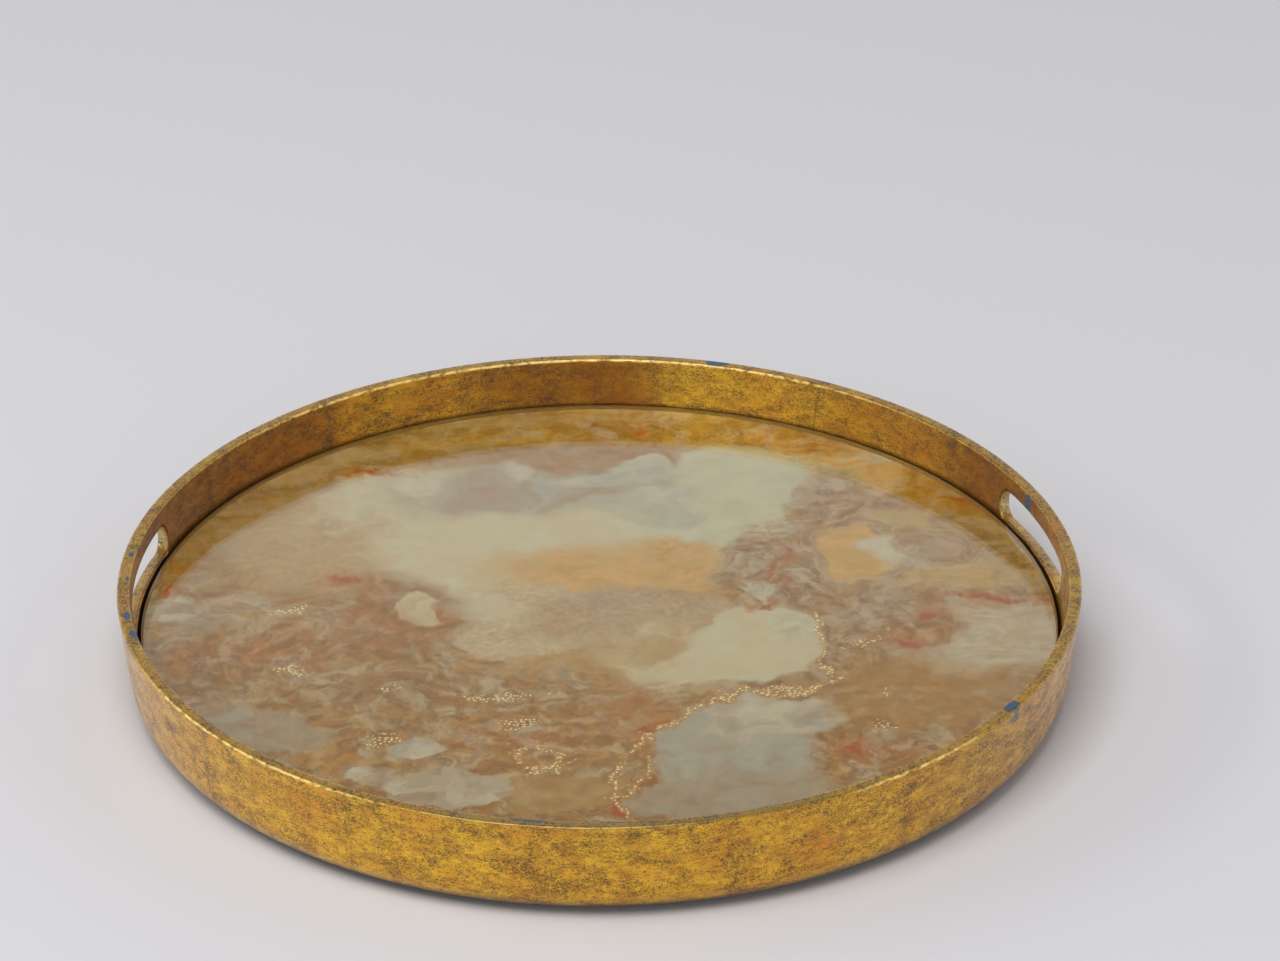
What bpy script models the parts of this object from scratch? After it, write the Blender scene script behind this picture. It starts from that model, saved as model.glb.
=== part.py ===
"""A round serving tray: a leaning gilded wall with two finger slots round a sunken glass floor.

The wall is a hoop that stands on a turned foot ring. The ring also carries the base board, and the
board carries the painted layer and the glass. The origin is the middle of the tray on the table,
+Z is up, and the two slots lie left and right, a little behind the middle.
"""

import math

import bmesh
import bpy

# Wall
RIM_RADIUS = 0.258
RIM_TOP = 0.058
WALL_THICKNESS = 0.0069
WALL_LEAN = math.radians(6.6)
RIM_EDGE_ROUND = 0.0013
LOWER_ROUND = 0.0175
HOOP_BOTTOM = 0.0095

# Foot ring and pads
FOOT_WIDTH = 0.0125
FOOT_EDGE_ROUND = 0.001
PAD_RADIUS = 0.005
PAD_THICKNESS = 0.001
PAD_COUNT = 4

# Floor of the tray
GLASS_DROP = 0.027
GLASS_THICKNESS = 0.004
GLASS_ARRIS = 0.0005
GROOVE_WIDTH = 0.0019
LAYER_THICKNESS = 0.0005
LAYER_MARGIN = 0.001
BOARD_THICKNESS = 0.012
BOARD_ARRIS = 0.0008

# Finger slots
SLOT_LENGTH = 0.101
SLOT_HEIGHT = 0.0165
SLOT_ABOVE_GLASS = 0.001
SLOT_EDGE_ROUND = 0.0012
SLOT_SET_BACK = math.radians(11.1)
SLOT_EDGE_SWEEP = math.radians(55)
SLOT_OVERRUN = 0.001

# Gap between pieces that touch, and the distance under which points are merged
CLEARANCE = 0.0003
MERGE_DISTANCE = 0.00001

# Facets
RING_STEPS = 120
EDGE_STEPS = 2
LOWER_ROUND_STEPS = 9
SLOT_END_STEPS = 7
SLOT_SIDE_STEPS = 8
PAD_STEPS = 24
SHARP_ANGLE = math.radians(32)

# Heights that follow from the sizes above
FOOT_BOTTOM = PAD_THICKNESS + CLEARANCE
GLASS_TOP = RIM_TOP - GLASS_DROP
GLASS_BOTTOM = GLASS_TOP - GLASS_THICKNESS
LAYER_TOP = GLASS_BOTTOM - CLEARANCE
LAYER_BOTTOM = LAYER_TOP - LAYER_THICKNESS
BOARD_TOP = LAYER_BOTTOM - CLEARANCE
BOARD_BOTTOM = BOARD_TOP - BOARD_THICKNESS
LEDGE_TOP = BOARD_BOTTOM - CLEARANCE
SLOT_MIDDLE = GLASS_TOP + SLOT_ABOVE_GLASS + SLOT_HEIGHT / 2

# Centre of the arc that turns the wall under
LOWER_ROUND_Z = FOOT_BOTTOM + LOWER_ROUND
LOWER_ROUND_X = RIM_RADIUS - math.tan(WALL_LEAN) * (RIM_TOP - LOWER_ROUND_Z) - LOWER_ROUND / math.cos(WALL_LEAN)


def outer_radius(z):
    """Radius of the wall's outer face on its straight part."""
    return RIM_RADIUS - math.tan(WALL_LEAN) * (RIM_TOP - z)


def inner_radius(z):
    """Radius of the wall's inner face."""
    return outer_radius(z) - WALL_THICKNESS


def lower_arc(start_z, end_z):
    """Points down the arc under the wall, from one height to a lower one."""
    start = math.asin((start_z - LOWER_ROUND_Z) / LOWER_ROUND)
    end = math.asin(max((end_z - LOWER_ROUND_Z) / LOWER_ROUND, -1.0))
    whole_turn = math.pi / 2 - WALL_LEAN
    steps = max(2, round(LOWER_ROUND_STEPS * (start - end) / whole_turn))
    points = []
    for index in range(steps + 1):
        angle = start + (end - start) * index / steps
        points.append((LOWER_ROUND_X + LOWER_ROUND * math.cos(angle),
                       LOWER_ROUND_Z + LOWER_ROUND * math.sin(angle)))
    return points


def rounded_corner(before, corner, after, radius, steps):
    """Points of the arc that rounds one corner of an outline."""
    to_before = (before[0] - corner[0], before[1] - corner[1])
    to_after = (after[0] - corner[0], after[1] - corner[1])
    length_before = math.hypot(*to_before)
    length_after = math.hypot(*to_after)
    unit_before = (to_before[0] / length_before, to_before[1] / length_before)
    unit_after = (to_after[0] / length_after, to_after[1] / length_after)
    half_angle = math.acos(unit_before[0] * unit_after[0] + unit_before[1] * unit_after[1]) / 2
    bisector = (unit_before[0] + unit_after[0], unit_before[1] + unit_after[1])
    bisector_length = math.hypot(*bisector)
    reach = radius / math.sin(half_angle)
    centre = (corner[0] + bisector[0] / bisector_length * reach,
              corner[1] + bisector[1] / bisector_length * reach)
    tangent = radius / math.tan(half_angle)
    first = (corner[0] + unit_before[0] * tangent, corner[1] + unit_before[1] * tangent)
    last = (corner[0] + unit_after[0] * tangent, corner[1] + unit_after[1] * tangent)
    start = math.atan2(first[1] - centre[1], first[0] - centre[0])
    end = math.atan2(last[1] - centre[1], last[0] - centre[0])
    turn = (end - start + math.pi) % (2 * math.pi) - math.pi
    return [(centre[0] + radius * math.cos(start + turn * index / steps),
             centre[1] + radius * math.sin(start + turn * index / steps))
            for index in range(steps + 1)]


def make_material(name, colour, roughness, metallic):
    material = bpy.data.materials.new(name)
    material.use_nodes = True
    shader = material.node_tree.nodes["Principled BSDF"]
    shader.inputs["Base Color"].default_value = (*colour, 1.0)
    shader.inputs["Roughness"].default_value = roughness
    shader.inputs["Metallic"].default_value = metallic
    material.diffuse_color = (*colour, 1.0)
    return material


def add_object(name, mesh, collection, material=None):
    piece = bpy.data.objects.new(name, mesh)
    collection.objects.link(piece)
    if material:
        mesh.materials.append(material)
    return piece


def turned_ring(name, outline, collection, material):
    """Turn a closed outline in the XZ plane about Z. It runs down its outer side first."""
    mesh = bpy.data.meshes.new(name)
    count = len(outline)
    edges = [(index, (index + 1) % count) for index in range(count)]
    mesh.from_pydata([(x, 0, z) for x, z in outline], edges, [])
    ring = add_object(name, mesh, collection, material)
    screw = ring.modifiers.new("Turn", "SCREW")
    screw.axis = "Z"
    screw.angle = 2 * math.pi
    screw.steps = RING_STEPS
    screw.render_steps = RING_STEPS
    screw.use_merge_vertices = True
    screw.merge_threshold = MERGE_DISTANCE
    return ring


def disc(name, radius, bottom, top, arris, collection, material):
    """A flat disc with its edges broken by a small bevel."""
    bpy.ops.mesh.primitive_cylinder_add(
        vertices=RING_STEPS, radius=radius, depth=top - bottom, location=(0, 0, (bottom + top) / 2))
    piece = bpy.context.object
    piece.name = name
    piece.data.name = name
    for owner in piece.users_collection:
        owner.objects.unlink(piece)
    collection.objects.link(piece)
    piece.data.materials.append(material)
    if arris:
        bevel = piece.modifiers.new("Arris", "BEVEL")
        bevel.width = arris
        bevel.segments = 1
        bevel.limit_method = "ANGLE"
    return piece


def bake_and_shade(piece):
    """Replace a piece's mesh by its evaluated one, smooth except at sharp edges."""
    evaluated = piece.evaluated_get(bpy.context.evaluated_depsgraph_get())
    mesh = bpy.data.meshes.new_from_object(evaluated)
    mesh.name = piece.name
    piece.modifiers.clear()
    piece.data = mesh
    mesh.shade_smooth()
    mesh.set_sharp_from_angle(angle=SHARP_ANGLE)


def slot_columns():
    """Places along the slot from one end to the other, each with the slot's half height there."""
    half_height = SLOT_HEIGHT / 2
    half_straight = SLOT_LENGTH / 2 - half_height
    columns = []
    for index in range(1, SLOT_END_STEPS + 1):
        angle = math.pi / 2 * index / SLOT_END_STEPS
        columns.append((-half_straight, -math.cos(angle), math.sin(angle)))
    for index in range(1, SLOT_SIDE_STEPS):
        columns.append((half_straight * (2 * index / SLOT_SIDE_STEPS - 1), 0, 1))
    for straight, along, up in reversed(columns[:SLOT_END_STEPS]):
        columns.append((-straight, -along, up))
    return columns


def slot_stations():
    """Steps through the wall: share of its thickness, extra radius beyond the faces and flare.

    The eased edge is an arc that stops short of lying flat on the face, so that it meets the face
    along a clean line.
    """
    flare = SLOT_EDGE_ROUND * (1 - math.cos(SLOT_EDGE_SWEEP))
    depth = SLOT_EDGE_ROUND * math.sin(SLOT_EDGE_SWEEP)
    slope = math.tan(SLOT_EDGE_SWEEP)
    inside = [(0, -SLOT_OVERRUN, flare + SLOT_OVERRUN * slope)]
    for index in range(EDGE_STEPS + 1):
        angle = SLOT_EDGE_SWEEP * (1 - index / EDGE_STEPS)
        share = (depth - SLOT_EDGE_ROUND * math.sin(angle)) / WALL_THICKNESS
        inside.append((share, 0, SLOT_EDGE_ROUND * (1 - math.cos(angle))))
    outside = [(1 - share, -extra, flare) for share, extra, flare in reversed(inside)]
    return inside + outside


def slot_cutter(name, middle_angle, collection):
    """A rounded slot that follows the curve of the wall and runs square to its lean, flared at both faces."""
    columns = slot_columns()
    half_height = SLOT_HEIGHT / 2
    reference_radius = inner_radius(SLOT_MIDDLE)
    shape = bmesh.new()

    def place(along, up, share, extra):
        z = SLOT_MIDDLE + up - share * WALL_THICKNESS * math.sin(WALL_LEAN)
        radius = inner_radius(z) + share * WALL_THICKNESS + extra
        angle = middle_angle + along / reference_radius
        return shape.verts.new((radius * math.cos(angle), radius * math.sin(angle), z))

    loops = []
    for share, extra, flare in slot_stations():
        end_radius = half_height + flare
        tip = SLOT_LENGTH / 2 + flare
        upper = [place(straight + along * end_radius, up * end_radius, share, extra)
                 for straight, along, up in columns]
        lower = [place(straight + along * end_radius, -up * end_radius, share, extra)
                 for straight, along, up in columns]
        first = place(-tip, 0, share, extra)
        last = place(tip, 0, share, extra)
        loops.append((first, upper, last, lower))
    for first_loop, second_loop in zip(loops, loops[1:]):
        ring_a = [first_loop[0], *first_loop[1], first_loop[2], *reversed(first_loop[3])]
        ring_b = [second_loop[0], *second_loop[1], second_loop[2], *reversed(second_loop[3])]
        for index in range(len(ring_a)):
            after = (index + 1) % len(ring_a)
            shape.faces.new((ring_a[index], ring_a[after], ring_b[after], ring_b[index]))
    for first, upper, last, lower in (loops[0], loops[-1]):
        shape.faces.new((first, upper[0], lower[0]))
        shape.faces.new((last, lower[-1], upper[-1]))
        for index in range(len(upper) - 1):
            shape.faces.new((upper[index], upper[index + 1], lower[index + 1], lower[index]))
    bmesh.ops.recalc_face_normals(shape, faces=shape.faces)
    mesh = bpy.data.meshes.new(name)
    shape.to_mesh(mesh)
    shape.free()
    cutter = add_object(name, mesh, collection)
    cutter.hide_render = True
    cutter.display_type = "WIRE"
    return cutter


def make_rim_hoop(collection, cutters, material):
    """The leaning wall, from its rounded top edge to where it stands on the foot ring."""
    outer_top = (RIM_RADIUS, RIM_TOP)
    inner_top = (RIM_RADIUS - WALL_THICKNESS, RIM_TOP)
    wall_end_z = LOWER_ROUND_Z - LOWER_ROUND * math.sin(WALL_LEAN)
    wall_end = (outer_radius(wall_end_z), wall_end_z)
    inner_bottom = (inner_radius(HOOP_BOTTOM), HOOP_BOTTOM)
    outline = rounded_corner(inner_top, outer_top, wall_end, RIM_EDGE_ROUND, EDGE_STEPS)
    outline += lower_arc(wall_end_z, HOOP_BOTTOM)
    outline.append(inner_bottom)
    outline += rounded_corner(inner_bottom, inner_top, outer_top, RIM_EDGE_ROUND, EDGE_STEPS)
    hoop = turned_ring("rim_hoop", outline, collection, material)
    for name, angle in (("slot_right", SLOT_SET_BACK), ("slot_left", math.pi - SLOT_SET_BACK)):
        cut = hoop.modifiers.new(name, "BOOLEAN")
        cut.operation = "DIFFERENCE"
        cut.solver = "EXACT"
        cut.object = slot_cutter(name, angle, cutters)
    return hoop


def foot_inner_radius():
    return LOWER_ROUND_X - FOOT_WIDTH


def make_foot_ring(collection, material):
    """The turned ring under the hoop and the board. Its outer side carries on the wall's arc."""
    shoulder = HOOP_BOTTOM - CLEARANCE
    step_radius = inner_radius(HOOP_BOTTOM) - CLEARANCE
    inner_bottom = (foot_inner_radius(), FOOT_BOTTOM)
    inner_top = (foot_inner_radius(), LEDGE_TOP)
    outline = lower_arc(shoulder, FOOT_BOTTOM)
    outline += rounded_corner(outline[-1], inner_bottom, inner_top, FOOT_EDGE_ROUND, EDGE_STEPS)
    outline += rounded_corner(inner_bottom, inner_top, (step_radius, LEDGE_TOP), FOOT_EDGE_ROUND, EDGE_STEPS)
    outline += [(step_radius, LEDGE_TOP), (step_radius, shoulder)]
    return turned_ring("foot_ring", outline, collection, material)


def make_pads(collection, material):
    """Thin round pads spaced evenly under the flat of the foot ring."""
    middle_radius = LOWER_ROUND_X - FOOT_WIDTH / 2
    pads = []
    for index in range(PAD_COUNT):
        angle = 2 * math.pi * (index + 1 / 2) / PAD_COUNT
        place = (middle_radius * math.cos(angle), middle_radius * math.sin(angle), PAD_THICKNESS / 2)
        bpy.ops.mesh.primitive_cylinder_add(
            vertices=PAD_STEPS, radius=PAD_RADIUS, depth=PAD_THICKNESS, location=place)
        pad = bpy.context.object
        pad.name = f"pad_{index + 1}"
        for owner in pad.users_collection:
            owner.objects.unlink(pad)
        collection.objects.link(pad)
        pad.data.materials.append(material)
        pads.append(pad)
    return pads


def main():
    for old in list(bpy.data.objects):
        bpy.data.objects.remove(old, do_unlink=True)
    tray = bpy.data.collections.new("round_tray")
    cutters = bpy.data.collections.new("cutters")
    bpy.context.scene.collection.children.link(tray)
    bpy.context.scene.collection.children.link(cutters)

    gold_leaf = make_material("gold_leaf_on_wood", (0.56, 0.36, 0.09), 0.42, 0.85)
    onyx_paint = make_material("onyx_paint", (0.42, 0.34, 0.25), 0.5, 0.0)
    glass = make_material("float_glass", (0.83, 0.88, 0.86), 0.05, 0.0)
    glass.node_tree.nodes["Principled BSDF"].inputs["Transmission Weight"].default_value = 1.0
    board = make_material("dark_stained_board", (0.045, 0.03, 0.022), 0.7, 0.0)
    rubber = make_material("black_rubber", (0.02, 0.02, 0.02), 0.8, 0.0)

    board_radius = inner_radius(BOARD_BOTTOM) - CLEARANCE
    glass_radius = inner_radius(GLASS_TOP) - GROOVE_WIDTH
    pieces = [
        make_rim_hoop(tray, cutters, gold_leaf),
        make_foot_ring(tray, gold_leaf),
        disc("base_board", board_radius, BOARD_BOTTOM, BOARD_TOP, BOARD_ARRIS, tray, board),
        disc("onyx_layer", glass_radius - LAYER_MARGIN, LAYER_BOTTOM, LAYER_TOP, 0, tray, onyx_paint),
        disc("glass_panel", glass_radius, GLASS_BOTTOM, GLASS_TOP, GLASS_ARRIS, tray, glass),
        *make_pads(tray, rubber),
    ]
    for piece in pieces:
        bake_and_shade(piece)
    print(f"glass radius {glass_radius:.4f} m, foot inner radius {foot_inner_radius():.4f} m")


main()
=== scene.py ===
# %% [markdown]
# A round serving tray stands on a pale floor. Its wall is wood, gilded with leaf and lacquered, and
# its floor is a sheet of glass over a painted onyx pattern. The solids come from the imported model,
# and this script adds the finer surfaces and the finishes.

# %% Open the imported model
import math

import bmesh
import bpy
from mathutils import Matrix, Vector, noise


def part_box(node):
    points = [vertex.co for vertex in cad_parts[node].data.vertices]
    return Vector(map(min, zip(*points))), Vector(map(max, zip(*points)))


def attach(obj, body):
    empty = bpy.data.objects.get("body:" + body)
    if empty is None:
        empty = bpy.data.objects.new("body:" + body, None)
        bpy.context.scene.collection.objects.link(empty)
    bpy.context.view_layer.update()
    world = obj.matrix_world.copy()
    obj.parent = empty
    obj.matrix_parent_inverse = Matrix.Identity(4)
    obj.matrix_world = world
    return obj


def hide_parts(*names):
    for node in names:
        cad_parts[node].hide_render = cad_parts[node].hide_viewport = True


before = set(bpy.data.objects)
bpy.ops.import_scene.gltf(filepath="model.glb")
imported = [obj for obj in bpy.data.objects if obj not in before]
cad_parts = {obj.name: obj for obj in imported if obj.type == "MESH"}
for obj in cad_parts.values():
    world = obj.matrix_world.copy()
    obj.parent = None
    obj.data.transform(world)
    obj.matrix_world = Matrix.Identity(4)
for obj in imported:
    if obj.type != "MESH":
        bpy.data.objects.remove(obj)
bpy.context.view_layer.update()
print("nodes:", sorted(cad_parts))

# %% [markdown]
# Everything is in metres. Sizes of the real tray are easier to read in millimetres, so one name
# turns them into metres. Colours are written as the hex values of a paint chart and turned into the
# linear light that the shaders add up.

# %% Units and colours
MM = 0.001


def linear(hex_colour):
    """An sRGB hex colour as linear red, green, blue and alpha."""
    channels = [int(hex_colour[start:start + 2], 16) / 255 for start in (1, 3, 5)]
    light = [c / 12.92 if c <= 0.04045 else ((c + 0.055) / 1.055) ** 2.4 for c in channels]
    return (*light, 1.0)


print("mid grey in linear light:", linear("#808080")[0])

# %% [markdown]
# A material is a small graph of nodes. One helper adds a node, sets it up and wires it, and gives
# back the socket that the next node reads. Blender starts the name of every such node with
# ShaderNode, so the helper adds that. Four steps come up again and again: laying one paint over
# another, laying it where a pattern says so, the distance to a middle value, and the distance to the
# tray's axis.

# %% Helper for material nodes
def add(tree, kind, inputs=(), output=0, **settings):
    """Add a node, fill or link its inputs, listed in order or named, and return one output."""
    made = tree.nodes.new("ShaderNode" + kind)
    for name, value in settings.items():
        setattr(made, name, value)
    inputs = inputs if isinstance(inputs, dict) else dict(enumerate(inputs))
    for socket, value in inputs.items():
        if isinstance(value, bpy.types.NodeSocket):
            tree.links.new(value, made.inputs[socket])
        else:
            made.inputs[socket].default_value = value
    return made.outputs[output] if made.outputs else None


def new_material(name):
    """An empty node material and its tree."""
    material = bpy.data.materials.new(name)
    material.use_nodes = True
    material.node_tree.nodes.clear()
    return material, material.node_tree


def millimetres(tree):
    """The place on the object, counted in millimetres."""
    place = add(tree, "TexCoord", output="Object")
    return add(tree, "VectorMath", {0: place, "Scale": 1 / MM}, operation="SCALE")


def paint_over(tree, share, below, above):
    """One colour laid over another. Each is a hex value or a socket."""
    below, above = (linear(paint) if isinstance(paint, str) else paint for paint in (below, above))
    return add(tree, "Mix", {0: share, 6: below, 7: above}, 2, data_type="RGBA")


def paint_where(tree, pattern, start, full, most, below, above):
    """One colour laid over another as a pattern passes from its start to where it is full."""
    share = add(tree, "MapRange", [pattern, start, full, 0, most])
    return paint_over(tree, share, below, above)


def apart(tree, value, middle):
    """How far a value lies from a middle one, to either side."""
    offset = add(tree, "Math", [value, middle], operation="SUBTRACT")
    return add(tree, "Math", [offset], operation="ABSOLUTE")


def from_axis(tree, place):
    """How far a place lies from the tray's upright axis."""
    level = add(tree, "VectorMath", [place, (1, 1, 0)], operation="MULTIPLY")
    return add(tree, "VectorMath", [level], "Value", operation="LENGTH")


# %% [markdown]
# The camera stands where the photograph was taken: nearly three metres in front, looking down at 28
# degrees through a long lens. Its turn, dip and lean were fitted to the rim and the glass edge.

# %% Camera
PHOTO_WIDTH = 1280
FOCAL_PIXELS = 5917
SENSOR_WIDTH = 36.0
CAMERA_BACK = 2.7636
CAMERA_UP = 1.6097
CAMERA_YAW = 0.0079
CAMERA_DIP = 0.4958
CAMERA_LEAN = -0.0023
TRAY_TURN = math.radians(4.3)


def aim_camera():
    """Put the camera at the photograph's place and direction, seen from the turned tray."""
    forward = Vector((math.sin(CAMERA_YAW) * math.cos(CAMERA_DIP),
                      math.cos(CAMERA_YAW) * math.cos(CAMERA_DIP), -math.sin(CAMERA_DIP)))
    right = Vector((math.cos(CAMERA_YAW), -math.sin(CAMERA_YAW), 0))
    lean = Matrix.Rotation(-CAMERA_LEAN, 3, forward)
    right = lean @ right
    up = right.cross(forward)
    facing = Matrix((right, up, -forward)).transposed().to_4x4()
    place = Matrix.Translation((0, -CAMERA_BACK, CAMERA_UP))
    return Matrix.Rotation(-TRAY_TURN, 4, "Z") @ place @ facing


camera_data = bpy.data.cameras.new("camera")
camera_data.sensor_width = SENSOR_WIDTH
camera_data.lens = SENSOR_WIDTH * FOCAL_PIXELS / PHOTO_WIDTH
camera = bpy.data.objects.new("camera", camera_data)
bpy.context.scene.collection.objects.link(camera)
camera.matrix_world = aim_camera()
bpy.context.scene.camera = camera
print(f"lens {camera_data.lens:.1f} mm")

# %% [markdown]
# The tray stands on pale matte paper. One large softbox, high above and a little in front and to the
# left, lights it softly. A strip of light on each side draws the bright lines along the rounded
# edges and adds little else. The room is pale near the ground and darker higher up, as a studio is.
# The glass mirrors the pale part as a thin veil over the onyx, and the flat top of the rim mirrors
# the dark part. Together they light a level surface so that a colour renders about as it is written.

# %% Floor, lamps and room
FLOOR_HALF = 4.0
PAPER = "#d9d8da"
ROOM_LOW = "#ececee"
ROOM_HIGH = "#808085"
ROOM_STEP = (0.455, 0.53)
PAPER_FIBRE_MM = 2.0
SOFTBOXES = (
    ("softbox_above", (-0.8, -1.6, 4.1), 2.8, 2.8, 126),
    ("strip_left", (-2.0, 0.15, 1.35), 1.5, 0.25, 7.0),
    ("strip_right", (2.0, 0.0, 1.9), 1.2, 0.25, 3.0),
)

floor_mesh = bpy.data.meshes.new("floor")
floor_mesh.from_pydata([(-FLOOR_HALF, -FLOOR_HALF, 0), (FLOOR_HALF, -FLOOR_HALF, 0),
                        (FLOOR_HALF, FLOOR_HALF, 0), (-FLOOR_HALF, FLOOR_HALF, 0)], [], [(0, 1, 2, 3)])
floor = bpy.data.objects.new("floor", floor_mesh)
bpy.context.scene.collection.objects.link(floor)
paper, tree = new_material("matte_backdrop_paper")
fibre = add(tree, "TexNoise", {"Vector": millimetres(tree), "Scale": 1 / PAPER_FIBRE_MM, "Detail": 2.0})
tone = add(tree, "MapRange", [fibre, 0, 1, 0.985, 1.015])
shade = add(tree, "VectorMath", {0: linear(PAPER)[:3], "Scale": tone}, operation="SCALE")
surface = add(tree, "BsdfPrincipled", {
    "Base Color": shade, "Roughness": 0.9, "Specular IOR Level": 0.2})
add(tree, "OutputMaterial", {"Surface": surface})
floor_mesh.materials.append(paper)

room = bpy.data.worlds.new("studio_room")
bpy.context.scene.world = room
room.use_nodes = True
tree = room.node_tree
tree.nodes.clear()
direction = add(tree, "TexCoord", output="Generated")
upward = add(tree, "SeparateXYZ", [direction], "Z")
height = add(tree, "MapRange", [upward, *ROOM_STEP])
glow = add(tree, "Background", {"Color": paint_over(tree, height, ROOM_LOW, ROOM_HIGH)})
add(tree, "OutputWorld", {"Surface": glow})

for name, place, width, depth, power in SOFTBOXES:
    lamp_data = bpy.data.lights.new(name, "AREA")
    lamp_data.shape = "RECTANGLE"
    lamp_data.size = width
    lamp_data.size_y = depth
    lamp_data.energy = power
    lamp = bpy.data.objects.new(name, lamp_data)
    lamp.location = place
    lamp.rotation_euler = (-lamp.location).to_track_quat("-Z", "Y").to_euler()
    bpy.context.scene.collection.objects.link(lamp)
bpy.context.scene.view_settings.view_transform = "Standard"
print("floor, room and", len(SOFTBOXES), "softboxes")

# %% [markdown]
# The wall is one skin of leaf over a bent hoop and a turned foot ring. The joint between those two
# does not show, so the skin is modelled as one piece over both. A lathe shape with a Boolean cut
# would leave ragged slot edges in a mirror-like finish. So the rows and columns of the mesh are laid
# out first, and each slot is woven into a window that is left open in them.

# %% Sizes of the wall, read from the model where it holds them
foot_low, foot_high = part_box("foot_ring")
glass_low, glass_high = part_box("glass_panel")
RIM_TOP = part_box("rim_hoop")[1].z
RIM_RADIUS = 258 * MM
WALL_THICKNESS = 6.9 * MM
WALL_LEAN = math.radians(6.6)
RIM_EDGE_ROUND = 1.3 * MM
LOWER_ROUND = 17.5 * MM
FOOT_BOTTOM = foot_low.z
FOOT_WIDTH = 12.5 * MM
FOOT_EDGE_ROUND = 1.0 * MM
LEDGE_TOP = foot_high.z
LOWER_ROUND_Z = FOOT_BOTTOM + LOWER_ROUND
WALL_DROP = RIM_TOP - LOWER_ROUND_Z
LOWER_ROUND_X = RIM_RADIUS - math.tan(WALL_LEAN) * WALL_DROP - LOWER_ROUND / math.cos(WALL_LEAN)
print(f"rim at {RIM_TOP / MM:.1f} mm, glass at {glass_low.z / MM:.1f} to {glass_high.z / MM:.1f} mm")


# %% Outline of the wall
COLUMNS = 480
EDGE_STEPS = 5
LOWER_ROUND_STEPS = 14
FOOT_EDGE_STEPS = 3
EDGE_ROWS = (0.8 * MM, 2.6 * MM)
TOP_INSET = 0.5 * MM
ROW_BELOW_GLASS = 22 * MM
WINDOW_TOP = 51.2 * MM
WINDOW_BOTTOM = 29.4 * MM
WINDOW_ROWS = 10


def wall_radius(z, share):
    """Radius in the wall at a height: share 0 is its inner face and 1 its outer face."""
    return RIM_RADIUS - math.tan(WALL_LEAN) * (RIM_TOP - z) - WALL_THICKNESS * (1 - share)


def quarter(centre, radius, start, end, steps):
    """Points on an arc between two angles in degrees."""
    angles = [math.radians(start + (end - start) * step / steps) for step in range(steps + 1)]
    return [(centre[0] + radius * math.cos(a), centre[1] + radius * math.sin(a)) for a in angles]


def window_heights():
    """Heights of the rows that border or cross a slot's window, from the top down."""
    drop = (WINDOW_BOTTOM - WINDOW_TOP) / WINDOW_ROWS
    return [WINDOW_TOP + drop * row for row in range(WINDOW_ROWS + 1)]


def wall_outline():
    """Points down the wall's outside and up its inside, and the first row of each window."""
    lean = math.degrees(WALL_LEAN)
    edge = RIM_EDGE_ROUND
    top_centre_z = RIM_TOP - edge
    outer_x = wall_radius(top_centre_z, 1) - edge / math.cos(WALL_LEAN)
    inner_x = wall_radius(top_centre_z, 0) + edge / math.cos(WALL_LEAN)
    points = quarter((outer_x, top_centre_z), edge, 90, -lean, EDGE_STEPS)
    between = [points[-1][1] - offset for offset in EDGE_ROWS]
    points += [(wall_radius(z, 1), z) for z in between]
    outer_window = len(points)
    points += [(wall_radius(z, 1), z) for z in window_heights()]
    points += quarter((LOWER_ROUND_X, LOWER_ROUND_Z), LOWER_ROUND, -lean, -90, LOWER_ROUND_STEPS)
    inside_foot = LOWER_ROUND_X - FOOT_WIDTH
    edge = FOOT_EDGE_ROUND
    points += quarter((inside_foot + edge, FOOT_BOTTOM + edge), edge, 270, 180, FOOT_EDGE_STEPS)
    points += quarter((inside_foot + edge, LEDGE_TOP - edge), edge, 180, 90, FOOT_EDGE_STEPS)
    points += [(wall_radius(z, 0), z) for z in (LEDGE_TOP, ROW_BELOW_GLASS)]
    inner_window = len(points)
    points += [(wall_radius(z, 0), z) for z in reversed(window_heights())]
    points += [(wall_radius(z, 0), z) for z in reversed(between)]
    points += quarter((inner_x, top_centre_z), RIM_EDGE_ROUND, 180 - lean, 90, EDGE_STEPS)
    points += [(inner_x + TOP_INSET, RIM_TOP), (outer_x - TOP_INSET, RIM_TOP)]
    return points, outer_window, inner_window


outline, outer_window, inner_window = wall_outline()
print(f"{len(outline)} points round the wall's section")

# %% [markdown]
# A finger slot is routed through the wall: two half rounds joined by a straight stretch, with its
# edges eased by hand before gilding. Each point on the window's border is paired with the nearest
# point of the slot, and loops between them carry the surface round the eased edge and through.

# %% Slots
SLOT_LENGTH = 101 * MM
SLOT_HEIGHT = 16.5 * MM
SLOT_ABOVE_GLASS = 1 * MM
SLOT_EDGE_ROUND = 1.2 * MM
SLOT_SET_BACK = math.radians(11.1)
SLOT_MIDDLES = (SLOT_SET_BACK, math.pi - SLOT_SET_BACK)
SLOT_Z = glass_high.z + SLOT_ABOVE_GLASS + SLOT_HEIGHT / 2
SLOT_REFERENCE = wall_radius(SLOT_Z, 0)
WINDOW_MARGIN = 4 * MM
EASING_STEPS = 4
WAYS_TO_SLOT = (0.4, 0.75)


def on_wall(azimuth, z, share):
    """A point in the slot, which runs square to the leaning wall."""
    z -= share * WALL_THICKNESS * math.sin(WALL_LEAN)
    radius = wall_radius(z, share)
    return Vector((radius * math.cos(azimuth), radius * math.sin(azimuth), z))


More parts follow.
